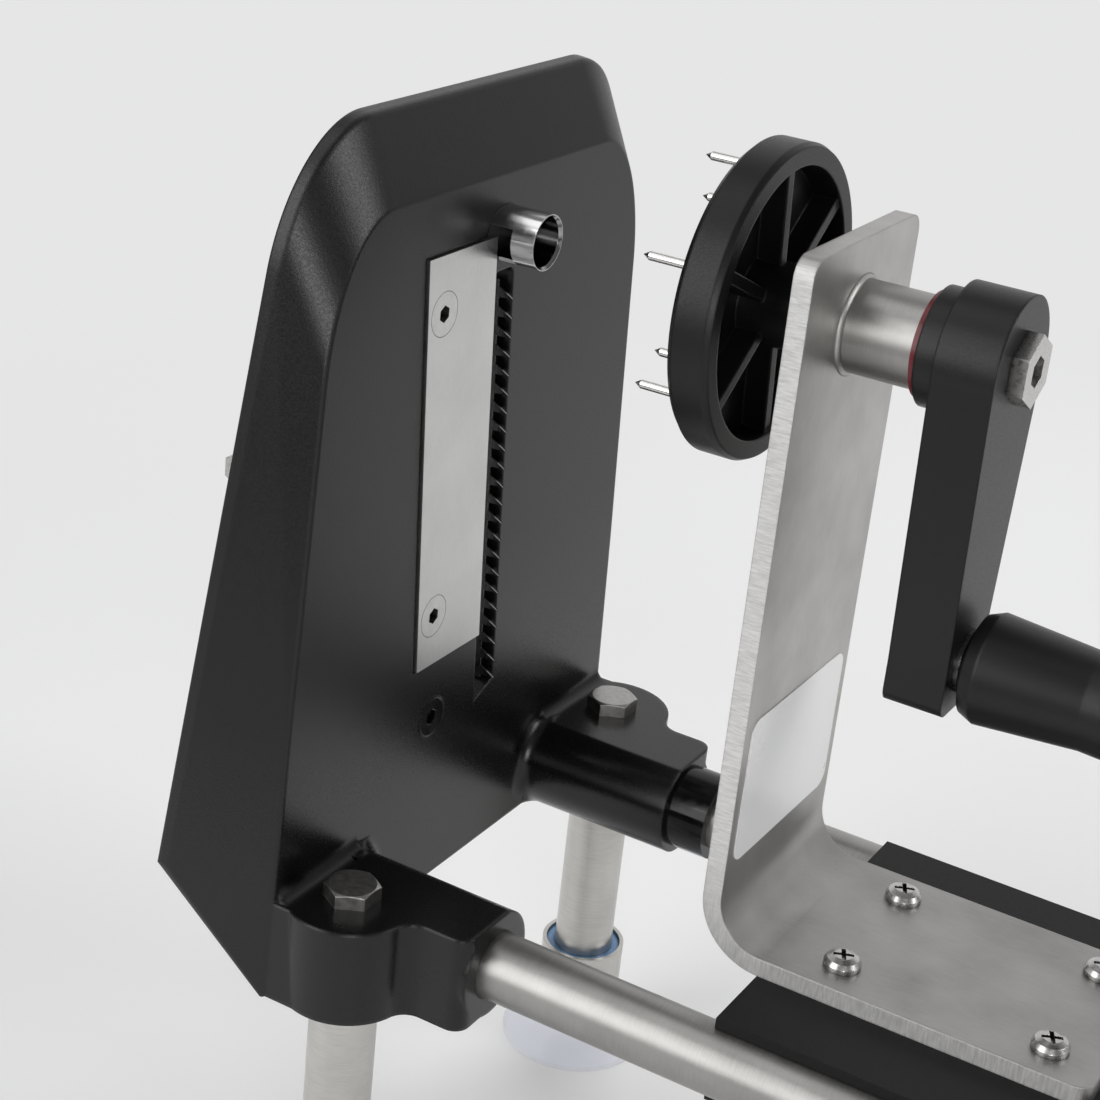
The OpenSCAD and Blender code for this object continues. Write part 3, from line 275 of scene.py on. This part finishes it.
def comb_steel():
    """Dark steel comb; its teeth are ground along their near rim, and there, where they face the carrot, the
    base colour is made bright as a painted glint.
    """
    s = Shader("comb", {"Metallic": 1.0})
    streaks = s.noise(s.place((1.0, 1.0, 0.1)), 3.0, detail=3.0)
    facing = s.spread(s.along("X", "True Normal"), 0.0, 1.0, start=0.35, end=0.6)
    depth = s.vector("DOT_PRODUCT", s.geometry(), ACROSS_LEAN)
    rim = s.spread(depth, 1.0, 0.0, *(COMB_AT + past for past in COMB_RIM))
    # painted glint: bright base colour on the near rim, on faces that look toward +X
    ground = s.calc("MULTIPLY", facing, rim)
    s.paint("Base Color", s.grey(s.calc("MULTIPLY_ADD", ground, 0.6, s.spread(streaks, 0.02, 0.06))))
    s.paint("Roughness", s.spread(streaks, 0.25, 0.35))
    return s.material


# ---------------------------------------------------------------- materials
MOULDING = moulded("moulding", (0.002, 0.002, 0.0021), (0.004, 0.004, 0.0042), 0.35, grain=1.7, edge=0.001,
                   strength=0.4, gloss=0.46, low_edge=0.0016, low_rough=0.68)
DISC_PLASTIC = moulded("disc_plastic", (0.003, 0.003, 0.0032), (0.007, 0.007, 0.0073), 0.38, grain=1.8,
                       edge=0.0008, gloss=0.33)
ARM_PLASTIC = moulded("arm_plastic", (0.004, 0.004, 0.0043), (0.007, 0.007, 0.0073), 0.38, grain=2.2,
                      edge=0.001, gloss=0.38)
SMOOTH_BLACK = plain("smooth_black", (0.012, 0.012, 0.012), (0.02, 0.02, 0.021), 0.35)
GLOSS_BLACK = plain("gloss_black", (0.003, 0.003, 0.0035), (0.006, 0.006, 0.0065), 0.12, strength=0.05,
                    gloss=0.3)
SHEET_BLACK = plain("sheet_black", (0.003, 0.003, 0.0033), (0.006, 0.006, 0.0064), 0.5, scale=1.2,
                    strength=0.3, gloss=0.25)
TUBE_X = brushed("tube_x", (0.31, 0.305, 0.297), (0.44, 0.432, 0.418), 0.38, "yz", strength=0.4)
TUBE_Z = brushed("tube_z", (0.5, 0.49, 0.467), (0.7, 0.69, 0.662), 0.34, "xy", strength=0.4)
PLATE = cut_plate("plate", (0.37, 0.364, 0.353), (0.61, 0.6, 0.583), (0.5, 0.5, 0.49), (0.78, 0.77, 0.755), 0.4)
BLADE = brushed("blade", (0.54, 0.54, 0.535), (0.66, 0.66, 0.65), 0.33, "z", edge=0.0, strength=0.1)
# painted shade: the hex recesses of the blade screws are darkened
SCREW_FACE = plain("screw_face", (0.54, 0.54, 0.535), (0.66, 0.66, 0.65), 0.33, metal=1.0, edge=0.0,
                   hollow_shade=(0.003, 0.06))
COMB = comb_steel()
# painted shade: the coring tube's inside is darkened to 0.22 of its tone
TURNED = brushed("turned", (0.6, 0.6, 0.605), (0.74, 0.74, 0.745), 0.15, "yz", edge=0.0001, strength=0.15,
                 bore_shade=(SPINDLE_AT, 0.22, -0.0064, -0.0035))
BRIGHT = plain("bright", (0.6, 0.595, 0.58), (0.7, 0.69, 0.67), 0.2, metal=1.0, edge=0.0, strength=0.03)
# painted shade: the hollows of nuts, bolts and screws are darkened
FASTENER = plain("fastener", (0.5, 0.49, 0.48), (0.62, 0.61, 0.6), 0.28, metal=1.0, scale=0.8,
                 hollow_shade=(0.002, 0.15))
BOLT = plain("bolt", (0.36, 0.35, 0.34), (0.5, 0.49, 0.475), 0.34, metal=1.0, scale=0.6, edge=0.0004)
BLACK_SCREW = plain("black_screw", (0.002, 0.002, 0.002), (0.005, 0.005, 0.005), 0.25, edge=0.0006, gloss=0.3)
# painted shade: the sleeves are darker in the narrow trough around the legs
BLUE = plain("blue", (0.2, 0.42, 0.78), (0.26, 0.5, 0.86), 0.35, hollow_shade=(0.003, 0.08, 0.5, 0.75))
RED = plain("red", (0.12, 0.008, 0.012), (0.17, 0.012, 0.018), 0.3)
LABEL = plain("label", (0.92, 0.92, 0.925), (0.95, 0.95, 0.955), 0.3, scale=0.05, strength=0.03)
CUP = plain("cup", (0.78, 0.81, 0.95), (0.82, 0.85, 0.98), 0.2, scale=0.05, strength=0.05, alpha=0.18)

CORNERS = ["front_near", "front_far", "rear_near", "rear_far"]
DRESS = {
    MOULDING: ["head_shell", "rear_crosspiece"],
    DISC_PLASTIC: ["pusher_disc"],
    ARM_PLASTIC: ["crank_arm", "crank_grip"],
    SMOOTH_BLACK: ["rail_plugs", "bush_front", "bush_rear", "guide_block"],
    GLOSS_BLACK: ["rail_stop"],
    SHEET_BLACK: ["glide_upper", "glide_lower"],
    TUBE_X: ["near_rail", "far_rail", "bearing_tube", "spindle"],
    TUBE_Z: [f"{piece}_{corner}" for piece in ("leg", "collar") for corner in CORNERS],
    PLATE: ["bracket", "bearing_weld"],
    BLADE: ["blade_plate"],
    SCREW_FACE: ["blade_screws"],
    COMB: ["comb_blade"],
    TURNED: ["coring_tube"],
    BRIGHT: ["disc_pins"],
    FASTENER: ["blade_nuts", "corer_nut", "side_bolt", "side_nut", "leg_inserts", "crank_bolt", "grip_axle",
               "carriage_screws", "carriage_nuts"],
    BOLT: ["front_bolts", "rear_bolts"],
    BLACK_SCREW: ["lone_screw"],
    BLUE: ["foot_sleeves"],
    RED: ["thrust_washer"],
    LABEL: ["push_label"],
    CUP: [f"cup_{corner}" for corner in CORNERS],
}
for material, names in DRESS.items():
    for name in names:
        slots = NODES[name].data.materials
        slots.clear()
        slots.append(material)


# ---------------------------------------------------------------- stage
BACKGROUND = (0.79, 0.79, 0.795, 1)
# tones of the ground: to the rays that see the background, to all others, and to these in its front part
GROUND_SEEN, GROUND_LIT, GROUND_END = 0.88, 0.82, 0.08
# where the ground's front part gives way along Y, and how far from the origin its even glow sets in
FRONT = (-0.75, -0.3)
GLOW = (0.45, 0.9)
GLOW_SHARE = 0.5
FLOOR_HALF = 4.0
# tones of the sky, the agreement with the wall's direction at which they stand, and that direction
SKY_FRONT, SKY_SIDE, SKY_WALL = 0.2, 0.22, 0.95
SIDE_STOP, WALL_STOP = 0.66, 0.88
WALL_AT = (-0.3, 0.93, 0.2)

MIDDLE = (-0.1, 0, 0.15)
# name, place, point that it is aimed at, size, power in watts, and whether it shows in reflections
LIGHTS = [
    ("key", (-0.85, -1.12, 1.27), MIDDLE, (0.7, 0.7), 4.8, True),
    ("low_key", (-0.85, -1.45, 0.6), MIDDLE, (1.2, 0.9), 10, True),
    ("front", (0.75, -1.35, 0.42), (-0.18, 0, 0.25), (0.6, 0.45), 7, True),
    ("right", (1.2, 0.38, 0.94), (-0.19, -0.05, 0.3), (0.8, 0.55), 6.8, True),
    ("top", (-0.67, -0.2, 1.6), MIDDLE, (0.8, 0.8), 2.4, True),
    ("fill", (1.3, -0.3, 0.9), MIDDLE, (0.9, 0.9), 1.4, False),
    ("back", (-0.3, 1.3, 1.1), (0, 0, 0.15), (1.4, 0.9), 10, False),
]


def add_object(name, data):
    thing = bpy.data.objects.new(name, data)
    bpy.context.collection.objects.link(thing)
    return thing


def ground_material():
    """Pale ground that keeps the shadows near the object; to reflections, its front part is dark."""
    s = Shader("ground", {"Roughness": 0.9, "Specular IOR Level": 0.1})
    y = s.along("Y")
    rays = s.background_rays(s.spread(y, 0.0, 1.0, *FRONT))
    tone = s.spread(rays, s.spread(y, GROUND_END, GROUND_LIT, *FRONT), GROUND_SEEN, 0, 1)
    mottle = s.spread(s.noise(s.place(), 0.004), 0.99, 1.01)
    s.paint("Base Color", s.grey(s.calc("MULTIPLY", tone, mottle)))
    # beyond the object the ground glows evenly, fully only to the rays that see the background
    far = s.spread(s.vector("LENGTH", s.geometry()), 0.0, 1.0, *GLOW)
    share = s.spread(rays, s.spread(y, 0.0, GLOW_SHARE, *FRONT), 1.0, 0, 1)
    glow = s.add("Emission", {"Color": BACKGROUND})
    s.show(s.cover(s.surface.outputs[0], glow.outputs[0], s.calc("MULTIPLY", far, share)))
    return s.material


def ground():
    half = FLOOR_HALF
    mesh = bpy.data.meshes.new("studio_floor")
    mesh.from_pydata([(-half, -half, 0), (half, -half, 0), (half, half, 0), (-half, half, 0)], [],
                     [(0, 1, 2, 3)])
    mesh.materials.append(ground_material())
    floor = add_object("studio_floor", mesh)


def world():
    """Bright wall behind the object, dim elsewhere; the rays that see the background see it even."""
    studio = bpy.data.worlds.new("studio")
    bpy.context.scene.world = studio
    studio.use_nodes = True
    w = Nodes(studio.node_tree, "OutputWorld")
    toward = w.vector("DOT_PRODUCT", w.add("TexCoord").outputs["Generated"], Vector(WALL_AT).normalized())
    sky = w.ramp(toward, (0.0, [SKY_FRONT] * 3), (SIDE_STOP, [SKY_SIDE] * 3), (WALL_STOP, [SKY_WALL] * 3))
    light, back = (w.add("Background", {"Color": colour}) for colour in (sky, BACKGROUND))
    rays = w.background_rays(w.spread(toward, 0.0, 1.0, SIDE_STOP, WALL_STOP))
    w.show(w.cover(light.outputs[0], back.outputs[0], rays))


def area_light(name, at, aim, size, power, reflected):
    data = bpy.data.lights.new(name, "AREA")
    data.shape = "RECTANGLE"
    data.size, data.size_y = size
    data.energy = power
    lamp = add_object(name, data)
    lamp.location = at
    lamp.rotation_euler = (Vector(aim) - Vector(at)).to_track_quat("-Z", "Y").to_euler()
    lamp.visible_glossy = reflected


ground()
world()
for light in LIGHTS:
    area_light(*light)


# ---------------------------------------------------------------- camera
def camera():
    sin_a, cos_a = math.sin(CAMERA_AZIMUTH), math.cos(CAMERA_AZIMUTH)
    sin_e, cos_e = math.sin(CAMERA_ELEVATION), math.cos(CAMERA_ELEVATION)
    sin_r, cos_r = math.sin(CAMERA_ROLL), math.cos(CAMERA_ROLL)
    back = Vector((sin_a * cos_e, -cos_a * cos_e, sin_e))
    right = Vector((cos_a, sin_a, 0))
    up = back.cross(right)
    right, up = cos_r * right + sin_r * up, -sin_r * right + cos_r * up
    data = bpy.data.cameras.new("camera")
    data.lens = CAMERA_LENS
    data.sensor_width = SENSOR
    data.clip_start = CLIP_START
    turn = Matrix((right, up, back)).transposed().to_4x4()
    cam = add_object("camera", data)
    cam.matrix_world = Matrix.Translation(CAMERA_AT) @ turn
    bpy.context.scene.camera = cam


camera()
bpy.context.scene.view_settings.view_transform = "Standard"
